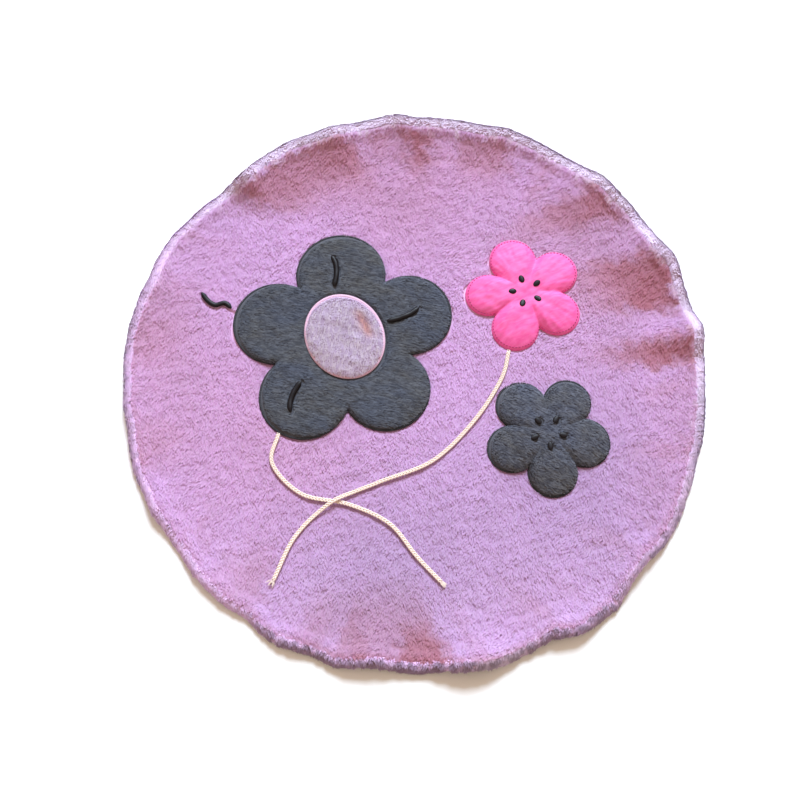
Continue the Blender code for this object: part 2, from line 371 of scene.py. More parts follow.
def lengths_along(path):
    """How far along a path each of its points is."""
    return np.r_[0, np.cumsum(np.linalg.norm(np.diff(path, axis=0), axis=1))]


def across_of(path):
    """The level direction across a path at each of its points."""
    along = np.gradient(path, axis=0)
    return unit(np.cross(UP, along))


def joined(name, meshes):
    """One mesh from several, which are then removed."""
    points, faces = [], []
    for mesh in meshes:
        start = len(points)
        points += [tuple(vertex.co) for vertex in mesh.vertices]
        faces += [tuple(start + i for i in face.vertices) for face in mesh.polygons]
        bpy.data.meshes.remove(mesh)
    whole = mesh_of(name, points, faces)
    whole.shade_smooth()
    return whole


# Materials

PLAIN_TINTS = (0.93, 0.92, 0.93), (1.0, 1.0, 1.0)
GREY_TINTS = (1.0, 0.97, 0.82), (0.86, 0.93, 1.0)
# Painted highlight: the pale lilac that the key light would put on the rolled hem.
PAINTED_RIM_HIGHLIGHT = (0.95, 0.81, 1.0)


class Nodes:
    """Short ways to add nodes to a material."""

    def __init__(self, name):
        self.material = bpy.data.materials.new(name)
        self.material.use_nodes = True
        self.tree = self.material.node_tree
        self.shader = self.tree.nodes["Principled BSDF"]
        self.shader.inputs["Metallic"].default_value = 0

    def add(self, kind, **settings):
        node = self.tree.nodes.new("ShaderNode" + kind)
        for key, value in settings.items():
            setattr(node, key, value)
        return node

    def link(self, source, target):
        self.tree.links.new(source, target)

    def set(self, **values):
        for key, value in values.items():
            self.shader.inputs[key.replace("_", " ")].default_value = value

    def place(self, scale, turn_deg=0):
        """The object's own coordinates, turned about +Z and then scaled along the turned axes."""
        coordinates = self.add("TexCoord")
        mapping = self.add("Mapping", vector_type="TEXTURE")
        mapping.inputs["Rotation"].default_value = (0, 0, math.radians(turn_deg))
        mapping.inputs["Scale"].default_value = [1 / value for value in scale]
        self.link(coordinates.outputs["Object"], mapping.inputs["Vector"])
        return mapping.outputs["Vector"]

    def noise(self, scale, turn_deg=0, detail=2.0, distortion=0.0):
        node = self.add("TexNoise")
        node.inputs["Scale"].default_value = 1
        node.inputs["Detail"].default_value = detail
        node.inputs["Distortion"].default_value = distortion
        self.link(self.place(scale, turn_deg), node.inputs["Vector"])
        return node.outputs["Fac"]

    def ramp(self, value, *stops):
        """Colours or greys at places from 0 to 1."""
        node = self.add("ValToRGB")
        self.link(value, node.inputs["Fac"])
        elements = node.color_ramp.elements
        for element, (place, colour) in zip(elements, (stops[0], stops[-1])):
            element.position, element.color = place, (*colour, 1)
        for place, colour in stops[1:-1]:
            elements.new(place).color = (*colour, 1)
        return node.outputs["Color"]

    def step(self, value, low, high):
        return self.ramp(value, (low, (0, 0, 0)), (high, (1, 1, 1)))

    def mix(self, share, first, second, blend="MIX"):
        """Two colours mixed by a share, each an output or a plain colour."""
        node = self.add("Mix", data_type="RGBA", blend_type=blend)
        for value, socket in ((share, 0), (first, 6), (second, 7)):
            if isinstance(value, bpy.types.NodeSocket):
                self.link(value, node.inputs[socket])
            else:
                node.inputs[socket].default_value = value if socket == 0 else (*value, 1)
        return node.outputs[2]

    def attribute(self, name):
        return self.add("Attribute", attribute_name=name).outputs["Fac"]

    def bump(self, height, strength, distance):
        node = self.add("Bump")
        node.inputs["Strength"].default_value = strength
        node.inputs["Distance"].default_value = distance
        self.link(height, node.inputs["Height"])
        self.link(node.outputs["Normal"], self.shader.inputs["Normal"])

    def colour(self, output):
        self.link(output, self.shader.inputs["Base Color"])

    def glow_through(self, output, share):
        """Lets light through thin tufts in their own colour."""
        through = self.add("BsdfTranslucent")
        self.link(output, through.inputs["Color"])
        both = self.add("MixShader")
        both.inputs["Fac"].default_value = share
        self.link(self.shader.outputs["BSDF"], both.inputs[1])
        self.link(through.outputs["BSDF"], both.inputs[2])
        self.link(both.outputs["Shader"], self.tree.nodes["Material Output"].inputs["Surface"])


def pile_material(
    name, root, tip, light, nap_deg, rim=None, painted_shade=None, dim=None, tints=PLAIN_TINTS, glow=TUFT_GLOW
):
    """Plush pile: darker at its roots as painted shade between the tufts, streaked along its nap and
    softly mottled.
    """
    nodes = Nodes(name)
    streaks = nodes.noise((520, 95, 240), nap_deg + 90, detail=2)
    body = nodes.mix(nodes.step(streaks, 0.38, 0.63), tip, light)
    patches = nodes.noise((26, 17, 20), nap_deg + 90, detail=3, distortion=0.6)
    shade = nodes.ramp(patches, (0.3, tints[0]), (0.7, tints[1]))
    body = nodes.mix(1.0, body, shade, "MULTIPLY")
    # Painted shade between the tufts: the colour darkens towards their roots.
    body = nodes.mix(nodes.attribute("height"), root, body)
    # The marks paint light and shade: a painted highlight mixed in at the rim, and painted shade
    # multiplied in by the other two.
    toning = ("rim", rim, "MIX"), ("deep", painted_shade, "MULTIPLY"), ("dim", dim, "MULTIPLY")
    for mark, colour, blend in toning:
        if colour is not None:
            body = nodes.mix(nodes.attribute(mark), body, colour, blend)
    nodes.colour(body)
    nodes.glow_through(body, glow)
    nodes.set(Roughness=0.95, Sheen_Weight=0.4, Sheen_Roughness=0.45, Specular_IOR_Level=0.15)
    return nodes.material


def under_pile(name, dark, light):
    """The cloth that shows between the tufts, with a fine grain."""
    nodes = Nodes(name)
    fine = nodes.noise((UNDER_GRAIN, UNDER_GRAIN, UNDER_GRAIN), detail=3)
    nodes.colour(nodes.mix(nodes.step(fine, 0.3, 0.7), dark, light))
    nodes.bump(fine, 0.6, UNDER_BUMP)
    nodes.set(Roughness=0.9, Sheen_Weight=0.2, Specular_IOR_Level=0.2)
    return nodes.material


def knit_material(name, dark, light):
    """The knitted back: fine wales along +Y, each a row of small loops."""
    nodes = Nodes(name)
    wales = nodes.add("TexWave", wave_type="BANDS", bands_direction="X")
    wales.inputs["Scale"].default_value = 170
    wales.inputs["Distortion"].default_value = 1.2
    wales.inputs["Detail Scale"].default_value = 6
    nodes.link(nodes.place((1, 1, 1)), wales.inputs["Vector"])
    loops = nodes.noise((500, 900, 500), detail=2)
    rows = nodes.mix(0.45, wales.outputs["Color"], loops)
    nodes.colour(nodes.mix(rows, dark, light))
    nodes.bump(rows, 0.7, 0.5 * MM)
    nodes.set(Roughness=0.92, Specular_IOR_Level=0.2)
    return nodes.material


def fleece_material(name, dark, light):
    """Smooth bright knit with faint stretch lines and a soft sheen."""
    nodes = Nodes(name)
    lines = nodes.noise((60, 210, 100), 24, detail=3, distortion=0.8)
    body = nodes.mix(nodes.step(lines, 0.3, 0.72), dark, light)
    nodes.colour(body)
    nodes.bump(nodes.noise((900, 1500, 900), 24, detail=2), 0.35, 0.3 * MM)
    nodes.set(Roughness=0.62, Sheen_Weight=0.35, Sheen_Roughness=0.3, Specular_IOR_Level=0.3)
    return nodes.material


def thread_material(name, dark, light, roughness=0.5, sheen=0.15):
    """Smooth thread: fine strands with a dull shine."""
    nodes = Nodes(name)
    strands = nodes.noise((1400, 1400, 1400), detail=2)
    nodes.colour(nodes.mix(nodes.step(strands, 0.35, 0.7), dark, light))
    nodes.bump(strands, 0.4, 0.2 * MM)
    nodes.set(Roughness=roughness, Specular_IOR_Level=0.25, Sheen_Weight=sheen)
    return nodes.material


# The ground's form


def rim_radius(angles):
    """How far out the rug reaches, with small scallops where the hem's stitches gather it."""
    turn = np.radians(angles)
    scallops = 0.6 * np.sin(31 * turn + 1.3) + 0.45 * np.sin(47 * turn)
    return RUG_RADIUS + (around(RIM_LOBES, angles)[0] + scallops) * MM


def lifted(angles, radius, rim):
    """How far the cloth's folds raise it off the floor, with fine puckers next to the hem."""
    lift, reach = around(EDGE_FOLDS, angles) * MM
    share = np.clip((radius - rim + reach) / reach, 0, 1)
    turn = np.radians(angles)
    puckers = 0.5 * np.sin(58 * turn + 2 * np.sin(5 * turn)) + 0.5 * np.sin(83 * turn + 0.7)
    near_hem = eased((radius - rim + 46 * MM) / (46 * MM))
    lowest = np.clip(lift / (6 * MM), 0, 1)
    return lift * share**2 * (2 - share) + (1 + puckers) * 0.55 * MM * near_hem * lowest


def ground_height(x, y):
    """The upper side of the cloth, where the pile is rooted, in from the rolled hem."""
    angles, radius = polar(x, y)
    rim = rim_radius(angles)
    turn = math.radians(ROLL_TURN_DEG)
    inner = ROLL_HALF_WIDTH - CORE_HALF_WIDTH * math.cos(turn)
    rise = CORE_MIDDLE + CORE_HALF_HEIGHT * math.sin(turn) - ROOT_HEIGHT
    hem = eased((radius - rim + HEM_WIDTH) / (HEM_WIDTH - inner)) * rise
    uneven = 0.35 * ripples(x, y, 0.12, 1) + 0.12 * ripples(x, y, 0.03, 2)
    return lifted(angles, radius, rim) + ROOT_HEIGHT + hem + uneven * MM


def hem_point(angles, turns, grow=0.0):
    """Points on the rolled hem at each angle round the rug and each turn round the roll, in degrees."""
    rim = rim_radius(angles)
    turn = np.radians(turns)
    radius = rim - ROLL_HALF_WIDTH + (CORE_HALF_WIDTH + grow) * np.cos(turn)
    z = lifted(angles, radius, rim) + CORE_MIDDLE + (CORE_HALF_HEIGHT + grow) * np.sin(turn)
    return round_about(radius, np.radians(angles), z)


def normals_of(height, x, y, step=1.5 * MM):
    """The upward normals of a surface given as a height over each place."""
    slope_x = (height(x + step, y) - height(x - step, y)) / (2 * step)
    slope_y = (height(x, y + step) - height(x, y - step)) / (2 * step)
    return unit(np.stack([-slope_x, -slope_y, np.ones(np.shape(x))], axis=-1))


def rug_cloth(plush, knit):
    """The cloth itself: knitted back, turned hem, rolled edge and the upper side under the pile."""
    angles = np.arange(GROUND_STEPS) * 360 / GROUND_STEPS
    way = np.radians(angles)
    rim = rim_radius(angles)
    rings = []
    for share in np.linspace(0.02, 1, BACK_RINGS):
        radius = (rim - HEM_TURN_WIDTH - HEM_STEP_WIDTH) * share
        rings.append(round_about(radius, way, lifted(angles, radius, rim) + BACK_HEIGHT))
    inner = HEM_TURN_WIDTH - ROLL_HALF_WIDTH
    for share in np.linspace(0, 1, 6):
        radius = rim - HEM_TURN_WIDTH + share * inner * 0.9
        rings.append(round_about(radius, way, lifted(angles, radius, rim) + HEM_BACK_HEIGHT))
    for turn in np.linspace(-84, ROLL_TURN_DEG, ROLL_RINGS):
        rings.append(hem_point(angles, np.full(angles.shape, turn)))
    outer = rim - ROLL_HALF_WIDTH + CORE_HALF_WIDTH * math.cos(math.radians(ROLL_TURN_DEG))
    for share in np.linspace(1, 0.02, TOP_RINGS)[1:]:
        radius = outer * share
        height = ground_height(radius * np.cos(way), radius * np.sin(way))
        rings.append(round_about(radius, way, height))
    mesh = lofted("rug_cloth", rings)
    piece = new_object("rug_cloth", mesh, [plush, knit])
    slots = np.zeros(len(mesh.polygons), np.int32)
    slots[: BACK_RINGS * GROUND_STEPS] = 1
    slots[-2 * GROUND_STEPS :: 2] = 1
    mesh.polygons.foreach_set("material_index", slots)
    return piece


# The pile


def scattered(pile, low, high):
    """Places on an uneven triangular grid over a rectangle."""
    step = pile.spacing_mm * MM
    rng = np.random.default_rng(pile.seed)
    rows = np.arange(low[1], high[1], step * 0.866)
    columns = np.arange(low[0], high[0], step)
    x, y = np.meshgrid(columns, rows)
    x = x + (np.arange(len(rows)) % 2)[:, None] * step / 2
    x = x + rng.uniform(-0.42, 0.42, x.shape) * step
    y = y + rng.uniform(-0.42, 0.42, y.shape) * step
    return x.ravel(), y.ravel()


def nap_directions(pile, roots, normals, rng, over=None):
    """Where each tuft points: with the nap, wandering from place to place and from tuft to tuft.

    over is the direction up and over the rolled hem at each root, where the roots are on it.
    """
    x, y = roots[:, 0], roots[:, 1]
    seed = pile.seed * 10
    turn = pile.nap_deg - NAP_TURN_DEG * eased((0.6 * x + 0.8 * y) / RUG_RADIUS)
    turn = turn + 9 * ripples(x, y, 0.16, seed) + 6 * ripples(x, y, 0.022, seed + 1)
    turn = np.radians(turn + rng.normal(0, 13, len(roots)))
    lean = pile.lean_deg + 2 * ripples(x, y, 0.02, seed + 2) + ripples(x, y, 0.009, seed + 3)
    lean = np.radians(np.clip(lean + rng.normal(0, pile.unruly_deg, len(roots)), 8, 78))
    level = np.stack([np.cos(turn), np.sin(turn), np.zeros(len(turn))], axis=-1)
    if over is not None:
        outward = unit(roots * (1, 1, 0))
        sideways = np.cross(UP, outward)
        out_share = (level * outward).sum(axis=1, keepdims=True)
        level = sideways * (level * sideways).sum(axis=1, keepdims=True) - over * out_share
    along = unit(level - normals * (level * normals).sum(axis=1, keepdims=True))
    return unit(normals * np.cos(lean)[:, None] + along * np.sin(lean)[:, None])


def tufts(name, pile, roots, normals, directions, material, slot, lengths=1.0, marks=(), lifting=0.0):
    """Tufts like narrow leaves, bent over along the nap, and shaded softly as the cloth under them is.

    lifting turns their shading that way, as where the fuzz of a turned edge stands open.
    """
    rng = np.random.default_rng(pile.seed + 100)
    count = len(roots)
    x, y = roots[:, 0], roots[:, 1]
    uneven = 1 + 0.08 * ripples(x, y, 0.014, pile.seed + 7) + rng.uniform(-0.2, 0.2, count)
    length = (pile.length_mm * MM * np.clip(uneven, 0.6, 1.5) * lengths)[:, None]
    half = (pile.width_mm * MM / 2 * rng.uniform(0.8, 1.2, count))[:, None]
    face = unit(normals - directions * (normals * directions).sum(axis=1, keepdims=True))
    side = np.cross(directions, face)
    roll = rng.normal(0, TUFT_ROLL, (count, 1))
    side, face = side * np.cos(roll) + face * np.sin(roll), face * np.cos(roll) - side * np.sin(roll)
    bend = roots + unit(directions + normals * TUFT_BEND) * length * 0.5
    soft = unit(normals + lifting) * SOFT_NORMAL + face * (1 - SOFT_NORMAL)
    points = np.stack([roots, bend - side * half, bend + side * half, roots + directions * length], 1)
    shading = np.stack([soft, soft - side * TUFT_ROUND, soft + side * TUFT_ROUND, soft], 1)
    points[:, :, 2] = np.maximum(points[:, :, 2], LOWEST_TUFT)
    start = np.arange(count)[:, None] * 4
    faces = np.concatenate([start + (0, 2, 1), start + (1, 2, 3)], axis=1).reshape(-1, 3)
    points = points.reshape(-1, 3)
    mesh = mesh_of(name, points, faces)
    mesh.shade_smooth()
    mesh.normals_split_custom_set_from_vertices(unit(shading).reshape(-1, 3).tolist())
    height = mesh.attributes.new("height", "FLOAT", "POINT")
    height.data.foreach_set("value", np.tile([0.0, 0.7, 0.7, 1.0], count).astype(np.float32))
    for mark, values in marks:
        layer = mesh.attributes.new(mark, "FLOAT", "POINT")
        layer.data.foreach_set("value", np.repeat(values, 4).astype(np.float32))
    lay_map(mesh, points, faces)
    return sewn(name, mesh, material, slot)


def lay_map(mesh, points, faces):
    """A map of the tufts as seen from above."""
    low, high = points.min(axis=0), points.max(axis=0)
    places = (points[:, :2] - low[:2]) / (high[:2] - low[:2])
    layer = mesh.uv_layers.new(name="OFBake")
    layer.uv.foreach_set("vector", places[faces.ravel()].astype(np.float32).ravel())


# The ground's painted light and shade


def painted_shade_depth(x, y):
    """How much painted shade the pile has at each place, from 0 on the flats to 1 in the deepest hollow.
    """
    angles, radius = polar(x, y)
    inward = rim_radius(angles) - radius
    angles = angles + 0.7 * ripples(x, y, 0.03, 61) + 0.3 * ripples(x, y, 0.01, 62)
    deepest = np.zeros(np.shape(x))
    for painted_shade in map(ShadeBand._make, PAINTED_SHADE_BANDS):
        share = np.clip(inward / (painted_shade.reach_mm * MM), 0, 1)
        middle = painted_shade.rim_deg + (painted_shade.inner_deg - painted_shade.rim_deg) * share
        width = painted_shade.rim_width_deg + (painted_shade.inner_width_deg - painted_shade.rim_width_deg) * share
        away = angle_apart(angles, middle)
        edge = min(SHADE_BAND_EDGE_DEG, 1.4 * painted_shade.rim_width_deg)
        inside = 1 - eased((away - width / 2 + edge / 2) / edge)
        fading = 1 - eased((share - SHADE_BAND_FADE) / (1 - SHADE_BAND_FADE))
        deepest = np.maximum(deepest, painted_shade.depth * inside * fading)
    start = HEM_SHADE_MM * hem_painted_highlight(angles % 360)
    ragged = 2.5 * ripples(x, y, 0.011, 76) + 2 * ripples(x, y, 0.04, 77)
    shade_amount = deepest * eased((inward / MM - start + ragged) / 12)
    # Painted shade on the pile next to the fuzzy near part of the hem.
    near_fuzz_shade = around(HEM_FUZZ_AND_SHADE, angles % 360)[0] * (1 - eased((inward / MM - 12) / 12))
    shade_amount = np.clip(shade_amount + NEAR_HEM_SHADE * near_fuzz_shade + radial_shade_streaks(angles, inward), 0, 1)
    # Warm painted shade over broad places of the pile.
    return np.maximum(shade_amount, 0.6 * shade_amount + toned(WARM_SHADE_PLACES, x, y))


def radial_shade_streaks(angles, inward):
    """Faint streaks of painted shade that run in from the rim, where the cloth is gathered."""
    turn = np.radians(angles + 60 * inward)
    waves = np.sin(17 * turn + 0.4) + np.sin(29 * turn + 2.1) + 0.7 * np.sin(47 * turn + 1)
    reach = 1 - eased((inward / MM - 30) / 110)
    return STREAK_SHADE * np.clip(waves, 0, 2) * reach


def toned(places, x, y):
    """How much of a painted shade tone the pile has at each place."""
    total = np.zeros(np.shape(x))
    for place in map(Tone._make, places):
        away = np.hypot(x / MM - place.x_mm, y / MM - place.y_mm) / place.reach_mm
        total += place.share * np.exp(-(away**2))
    return np.clip(total, 0, 1)


def near_side_painted_sheen(x, y):
    """Painted sheen: how much paler the pile is made towards the near side, where it lies flattest."""
    patches = 0.8 + 0.2 * ripples(x, y, 0.09, 71)
    return NEAR_PAINTED_SHEEN * eased((-y - 0.14) / 0.16) * np.clip(patches, 0.2, 1.4)


def hem_painted_highlight(angles):
    """How much painted highlight the hem's pile has at each angle round the rug."""
    return around(HEM_PAINTED_HIGHLIGHT, angles)[0]


# The padded patches

Patch = namedtuple("Patch", "name middle_mm top_mm seam_mm level_mm fullness steps rings petals")


def flower(name, middle_mm, top_mm, seam_mm, level_mm, fullness, steps, rings, petals=()):
    petals = [Petal(*row) for row in petals]
    return Patch(name, middle_mm, top_mm, seam_mm, level_mm, fullness, steps, rings, petals)


LARGE_FLOWER = flower("grey_flower_large", (-98, 52), 13.4, 6.2, 68, 7, 240, 40, LARGE_PETALS)
SMALL_FLOWER = flower("grey_flower_small", (178, -85), 18.4, 6.2, 16, 2.6, 200, 30, GREY_PETALS)
PINK_FLOWER = flower("pink_flower", (155, 120), 20.1, 6.6, 16, 2.6, 240, 36, PINK_PETALS)
PALE_CENTRE = flower("pale_centre", (-96, 54), 20.2, 14.0, 20, 3.5, 160, 26)


def petal_outline(petals, angles):
    """The distance from the flower's middle to its edge at each angle, with rounded notches."""
    core = CORE_SHARE * min(petal.tip_mm for petal in petals)
    total = np.full(np.shape(angles), core**NOTCH_SHARPNESS)
    for petal in petals:
        round_radius = petal.width_mm / 2
        away = petal.tip_mm - round_radius
        turn = np.radians(angles - petal.angle_deg)
        inside = round_radius**2 - (away * np.sin(turn)) ** 2
        hit = (inside > 0) & (np.cos(turn) > 0)
        far_side = away * np.cos(turn) + np.sqrt(np.maximum(inside, 0))
        total += np.where(hit, far_side, 0) ** NOTCH_SHARPNESS
    return total ** (1 / NOTCH_SHARPNESS) * MM


def pale_outline(angles):
    """The distance from the pale patch's middle to its edge at each angle."""
    turn = np.radians(angles - PALE_TURN_DEG)
    return MM / np.hypot(np.cos(turn) / PALE_HALF_SIZE_MM[0], np.sin(turn) / PALE_HALF_SIZE_MM[1])


def outline(patch, angles):
    """The distance from a patch's middle to its edge at each angle."""
    if patch.petals:
        return petal_outline(patch.petals, angles)
    return pale_outline(angles)


def middle_of(patch):
    return np.array(patch.middle_mm) * MM


def share_of(patch, x, y):
    """0 in the patch's level middle, 1 at its seam and more outside it."""
    angles, distance = polar(x, y, middle_of(patch))
    level = patch.level_mm * MM
    return np.maximum(distance - level, 0) / (outline(patch, angles) - level)


def patch_height(patch, relief, x, y):
    """The patch's cloth: drawn down at its seam, and swelling from it to its top."""
    share = np.clip(share_of(patch, x, y), 0, 1)
    swell = (1 - share**patch.fullness) ** 0.62
    height = patch.seam_mm + (patch.top_mm - patch.seam_mm) * swell
    return (height + relief(x, y, share) * swell) * MM


def large_relief(x, y, share):
    """Soft quilting dents, and a groove round the pale middle."""
    groove = np.exp(-(((share_of(PALE_CENTRE, x, y) - 1.07) / 0.06) ** 2))
    return 0.45 * ripples(x, y, 0.06, 31) + 0.2 * ripples(x, y, 0.02, 32) - 2.6 * groove


def petal_valleys(patch, x, y, share):
    """1 along the lines from the middle to the notches, 0 on the petals."""
    angles, _ = polar(x, y, middle_of(patch))
    nearest = np.full(np.shape(x), 180.0)
    for petal in patch.petals:
        nearest = np.minimum(nearest, angle_apart(angles, petal.angle_deg))
    return eased((nearest - 20) / 16) * eased(share * 2.5)


def small_relief(x, y, share):
    """Each petal swells by itself, and the middle is drawn in a little."""
    valleys = petal_valleys(SMALL_FLOWER, x, y, share)
    return 0.35 * ripples(x, y, 0.03, 33) - 2.2 * valleys - 1.2 * (1 - eased(share * 3))


def pink_relief(x, y, share):
    """Each petal swells by itself, with wrinkles running in from the seam."""
    valleys = petal_valleys(PINK_FLOWER, x, y, share)
    angles, _ = polar(x, y, middle_of(PINK_FLOWER))
    turn = np.radians(angles)
    wrinkles = np.sin(47 * turn + 2.2 * np.sin(3 * turn)) * 0.34 + np.sin(29 * turn + 1) * 0.3
    near_seam = eased((share - 0.35) / 0.5)
    creases = 0.5 * ripples(x, y, 0.035, 35) + 0.2 * ripples(x, y, 0.012, 36)
    return wrinkles * near_seam + creases - 2.6 * valleys - 1.4 * (1 - eased(share * 3))


def pale_crease(x, y):
    """1 along a short crease towards one side, as where the wadding has moved, and 0 away from it: its
    dent, and its painted shade.
    """
    turn = math.radians(PALE_CREASE_DEG)
    across, along = x - PALE_CREASE_PLACE[0], y - PALE_CREASE_PLACE[1]
    further = across * math.cos(turn) + along * math.sin(turn)
    aside = along * math.cos(turn) - across * math.sin(turn)
    return np.exp(-((further / (21 * MM)) ** 4) - (aside / (6.5 * MM)) ** 2)


def pale_relief(x, y, share):
    return 0.3 * ripples(x, y, 0.03, 37) - 2.2 * pale_crease(x, y)


def patch_rings(patch, height, bottom):
    """Rings from the flat underside out to the seam, and over the top to the middle."""
    angles = np.arange(patch.steps) * 360 / patch.steps
    way = np.radians(angles)
    middle = middle_of(patch)
    level = patch.level_mm * MM
    edge = outline(patch, angles)
    flat = np.full(angles.shape, bottom)
    made = [round_about(edge * share, way, flat, middle) for share in (0.05, 0.98)]
    over = [level + (edge - level) * np.cos(turn) for turn in np.linspace(0, np.pi / 2, patch.rings)]
    over += [level * share * np.ones(patch.steps) for share in np.linspace(1, 0.08, 8)[1:]]
    for radius in over:
        ring = round_about(radius, way, flat, middle)
        ring[:, 2] = height(ring[:, 0], ring[:, 1])
        made.append(ring)
    return made


def padded_patch(patch, relief, material, fill, slot):
    """A patch's padded cloth, in place of its solid, and the height of its upper side."""

    def height(x, y):
        return patch_height(patch, relief, x, y)

    rings = patch_rings(patch, height, (patch.seam_mm - PATCH_DEPTH_MM) * MM)
    name = patch.name + "_pad"
    piece = sewn(name, lofted(name, rings), material, slot)
    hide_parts(patch.name)
    return height


# Stitching and cords


def satin(name, path, width, height, surface, material, pitch=0.9 * MM):
    """A raised band of close stitches along a path on a surface, narrowing at both ends."""
    path = np.asarray(path)
    z = surface(path[:, 0], path[:, 1])
    line = np.column_stack([path, z + height * 0.25])
    across = across_of(line)
    count = len(line)
    step = np.linalg.norm(np.diff(path, axis=0), axis=1).mean()
    rows = 1 + 0.10 * np.cos(2 * np.pi * np.arange(count) * step / pitch)
    along = np.minimum(np.arange(count), np.arange(count)[::-1]) * step
    ends = np.sqrt(np.clip(along / (width * 0.8), 0.02, 1))
    widths = width / 2 * rows * ends
    heights = height * rows * ends
    return sewn(name, lofted(name, tube_rings(line, across, widths, heights, 10)), material)


def seed_places(patch, ring_mm):
    """The middles of a ring of seeds, one on each petal."""
    turns = np.radians([petal.angle_deg for petal in patch.petals])
    return (np.array(patch.middle_mm) + ring_mm * np.column_stack([np.cos(turns), np.sin(turns)])) * MM


def seeds(name, patch, ring_mm, surface, above, material):
    """A ring of five satin ovals, one pointing along each petal."""
    meshes = []
    steps = np.linspace(-1, 1, 27)
    for petal in patch.petals:
        turn = math.radians(petal.angle_deg)
        out = np.array([math.cos(turn), math.sin(turn)])
        middle = (np.array(patch.middle_mm) + out * ring_mm) * MM
        path = middle + np.outer(steps * SEED_LENGTH_MM / 2 * MM, out)
        round_off = np.sqrt(np.clip(1 - steps**2, 0.01, 1))
        rows = 1 + 0.06 * np.cos(np.arange(len(steps)) * np.pi)
        line = np.column_stack([path, surface(path[:, 0], path[:, 1]) + above])
        widths = SEED_WIDTH_MM / 2 * MM * round_off * rows
        heights = 1.5 * MM * (0.35 + 0.65 * round_off) * rows
        meshes.append(lofted(name, tube_rings(line, across_of(line), widths, heights, 12)))
    return sewn(name, joined(name, meshes), material)


def closed_satin(name, path, width, height, surface, material, pitch):
    """A band of close stitches round a closed outline, each stitch a ridge across it."""
    z = surface(path[:, 0], path[:, 1])
    line = np.column_stack([path, z + height * 0.2])
    along = np.roll(line, -1, axis=0) - np.roll(line, 1, axis=0)
    across = unit(np.cross(UP, along))
    lengths = lengths_along(path)
    stitches = max(int(lengths[-1] / pitch), 8)
    phase = 2 * np.pi * stitches * np.arange(len(path)) / len(path)
    rows = 1 + 0.16 * np.cos(phase)
    rings = tube_rings(line, across, width / 2 * rows, height * rows, 8)
    rings.append(rings[0])
    return sewn(name, lofted(name, rings, capped=False), material)


def outline_path(patch, share, step):
    """Points a step apart round a patch, at a share of the way to its seam."""
    angles = np.linspace(0, 360, 1441)
    radius = outline(patch, angles % 360) * share
    way = np.radians(angles)
    x = patch.middle_mm[0] * MM + radius * np.cos(way)
    y = patch.middle_mm[1] * MM + radius * np.sin(way)
    lengths = np.r_[0, np.cumsum(np.hypot(np.diff(x), np.diff(y)))]
    count = int(lengths[-1] / step)
    along = np.arange(count) * lengths[-1] / count
    return evenly_along(x, y, lengths, along)


def running_stitches(name, path, surface, length, gap, width, height, material):
    """Separate short stitches along a closed path."""
    step = np.linalg.norm(np.diff(path, axis=0), axis=1).mean()
    every = max(int(round((length + gap) / step)), 2)
    held = max(int(round(length / step)), 1)
    meshes = []
    for start in range(0, len(path) - held, every):
        part = path[start : start + held + 1]
        z = surface(part[:, 0], part[:, 1])
        arch = np.sin(np.linspace(0.15, np.pi - 0.15, len(part)))
        line = np.column_stack([part, z + height * (arch - 0.35)])
        widths = width / 2 * (0.45 + 0.55 * arch)
        rings = tube_rings(line, across_of(line), widths, widths, 6)
        meshes.append(lofted(name, rings))
    return sewn(name, joined(name, meshes), material)


def hem_line(inset, step):
    """A closed path round the rug, a distance in from its rim."""
    angles = np.linspace(0, 360, 2881)
    radius = rim_radius(angles % 360) - inset
    x, y = radius * np.cos(np.radians(angles)), radius * np.sin(np.radians(angles))
    lengths = np.r_[0, np.cumsum(np.hypot(np.diff(x), np.diff(y)))]
    along = np.arange(int(lengths[-1] / step)) * step
    return evenly_along(x, y, lengths, along)


def back_stitching(grey_thread, bright_thread, hem_thread):
    """What shows underneath: the line that holds the turned hem, and the seams of the flowers."""

    def hem_back(x, y):
        angles, radius = polar(x, y)
        return lifted(angles, radius, rim_radius(angles)) + HEM_BACK_HEIGHT

    def flat_back(x, y):
        return np.full(np.shape(x), BACK_HEIGHT)

    path = hem_line(HEM_TURN_WIDTH - 4 * MM, 0.7 * MM)
    sizes = np.array([3.6, 1.4, 0.9, -0.6]) * MM
    running_stitches("hem_stitches", path, hem_back, *sizes, hem_thread)
    flowers = (LARGE_FLOWER, grey_thread), (SMALL_FLOWER, grey_thread), (PINK_FLOWER, bright_thread)
    sizes = np.array([3.2, 1.3, 0.9, -0.6]) * MM
    for patch, thread in flowers:
        path = outline_path(patch, 0.985, 0.7 * MM)
        running_stitches(patch.name + "_back_seam", path, flat_back, *sizes, thread)


def braid(name, node, path, lift, material):
    """A flat braid of three strands along a route, frayed at its free end."""
    lying = np.column_stack([path, CORD_MIDDLE + lift])
    across = across_of(lying)
    lengths = lengths_along(path)
    meshes = []
    for strand in range(3):
        phase = 2 * np.pi * (lengths / (13 * MM) + strand / 3)
        line = lying + across * (1.8 * MM * np.sin(phase))[:, None]
        line = line + UP * (0.6 * MM * np.sin(2 * phase))[:, None]
        ends = np.clip(np.minimum(lengths, lengths[-1] - lengths) / (3 * MM), 0.45, 1)
        rings = tube_rings(line, across, 1.25 * MM * ends, 0.95 * MM * ends, 8)
        meshes.append(lofted(name, rings))
    piece = sewn(name, joined(name, meshes), material, "cream_cord")
    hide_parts(node)
    fray(name + "_fray", lying[-1], unit(lying[-1] - lying[-4]), material)


